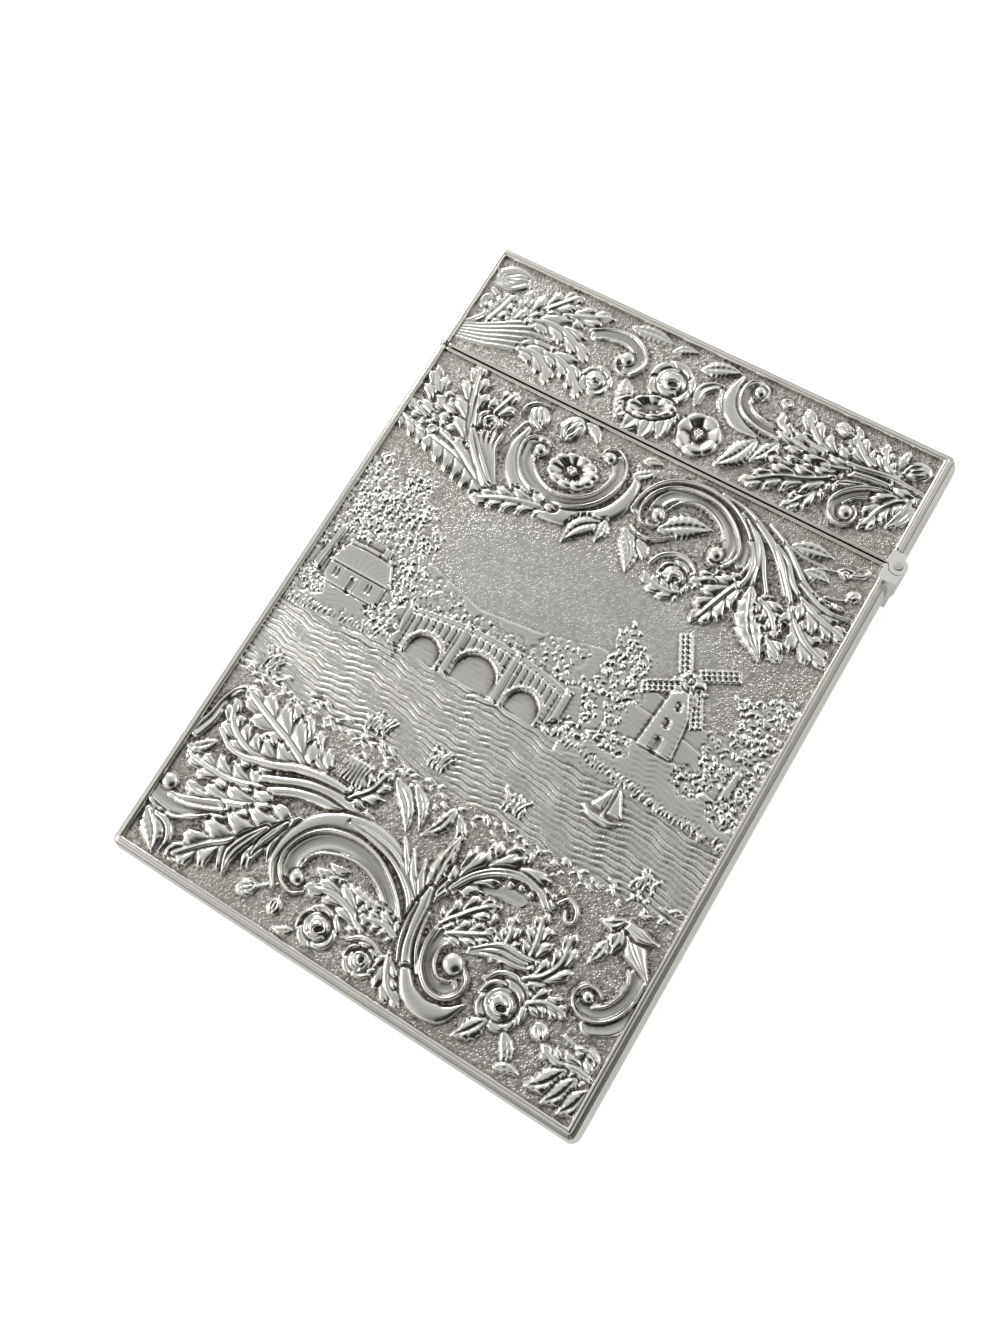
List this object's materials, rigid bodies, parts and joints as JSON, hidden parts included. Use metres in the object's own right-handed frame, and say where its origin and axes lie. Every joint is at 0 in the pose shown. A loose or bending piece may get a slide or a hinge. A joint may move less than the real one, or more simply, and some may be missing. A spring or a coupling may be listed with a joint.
{
  "type": "card case",
  "caption": "Flat rectangular visiting-card case in stamped silver sheet, with a rounded edge moulding, scrollwork in relief and a lid that swings sideways on a pinned side hinge.",
  "frame": {"origin": "middle of the plain cartouche on the back, on the plane that the case lies on", "axes": "+X across the case towards the hinge, +Y along it towards the lid, +Z out of the front"},
  "size_m": [0.0718, 0.1, 0.0094],
  "materials": {
    "stamped_silver": "die-stamped sterling silver, matt granulated ground darkened with age, high parts polished",
    "polished_silver": "smooth polished sterling silver with fine wear scratches",
    "liner_silver": "plain sterling silver, rubbed along the slide",
    "pin_silver": "drawn silver wire, riveted over"
  },
  "bodies": {
    "body": {"body_front_panel": "stamped_silver", "body_back_panel": "stamped_silver", "body_left_wall": "polished_silver", "body_right_wall": "polished_silver", "body_bottom_wall": "polished_silver", "body_front_mouth_wire": "polished_silver", "body_back_mouth_wire": "polished_silver", "liner_front_strip": "liner_silver", "liner_back_strip": "liner_silver", "liner_left_strip": "liner_silver", "liner_right_strip": "liner_silver", "hinge_body_bracket": "polished_silver"},
    "lid": {"lid_front_panel": "stamped_silver", "lid_back_panel": "stamped_silver", "lid_left_wall": "polished_silver", "lid_right_wall": "polished_silver", "lid_top_wall": "polished_silver", "lid_front_mouth_wire": "polished_silver", "lid_back_mouth_wire": "polished_silver", "hinge_lid_bracket": "polished_silver", "hinge_pin": "pin_silver"}
  },
  "joints": [
    {"name": "lid_hinge", "type": "hinge", "parent": "body", "child": "lid", "pos_m": [0.0351, 0.0322, 0.0045], "axis": [0, 0, -1], "range_deg": [0, 110]}
  ]
}
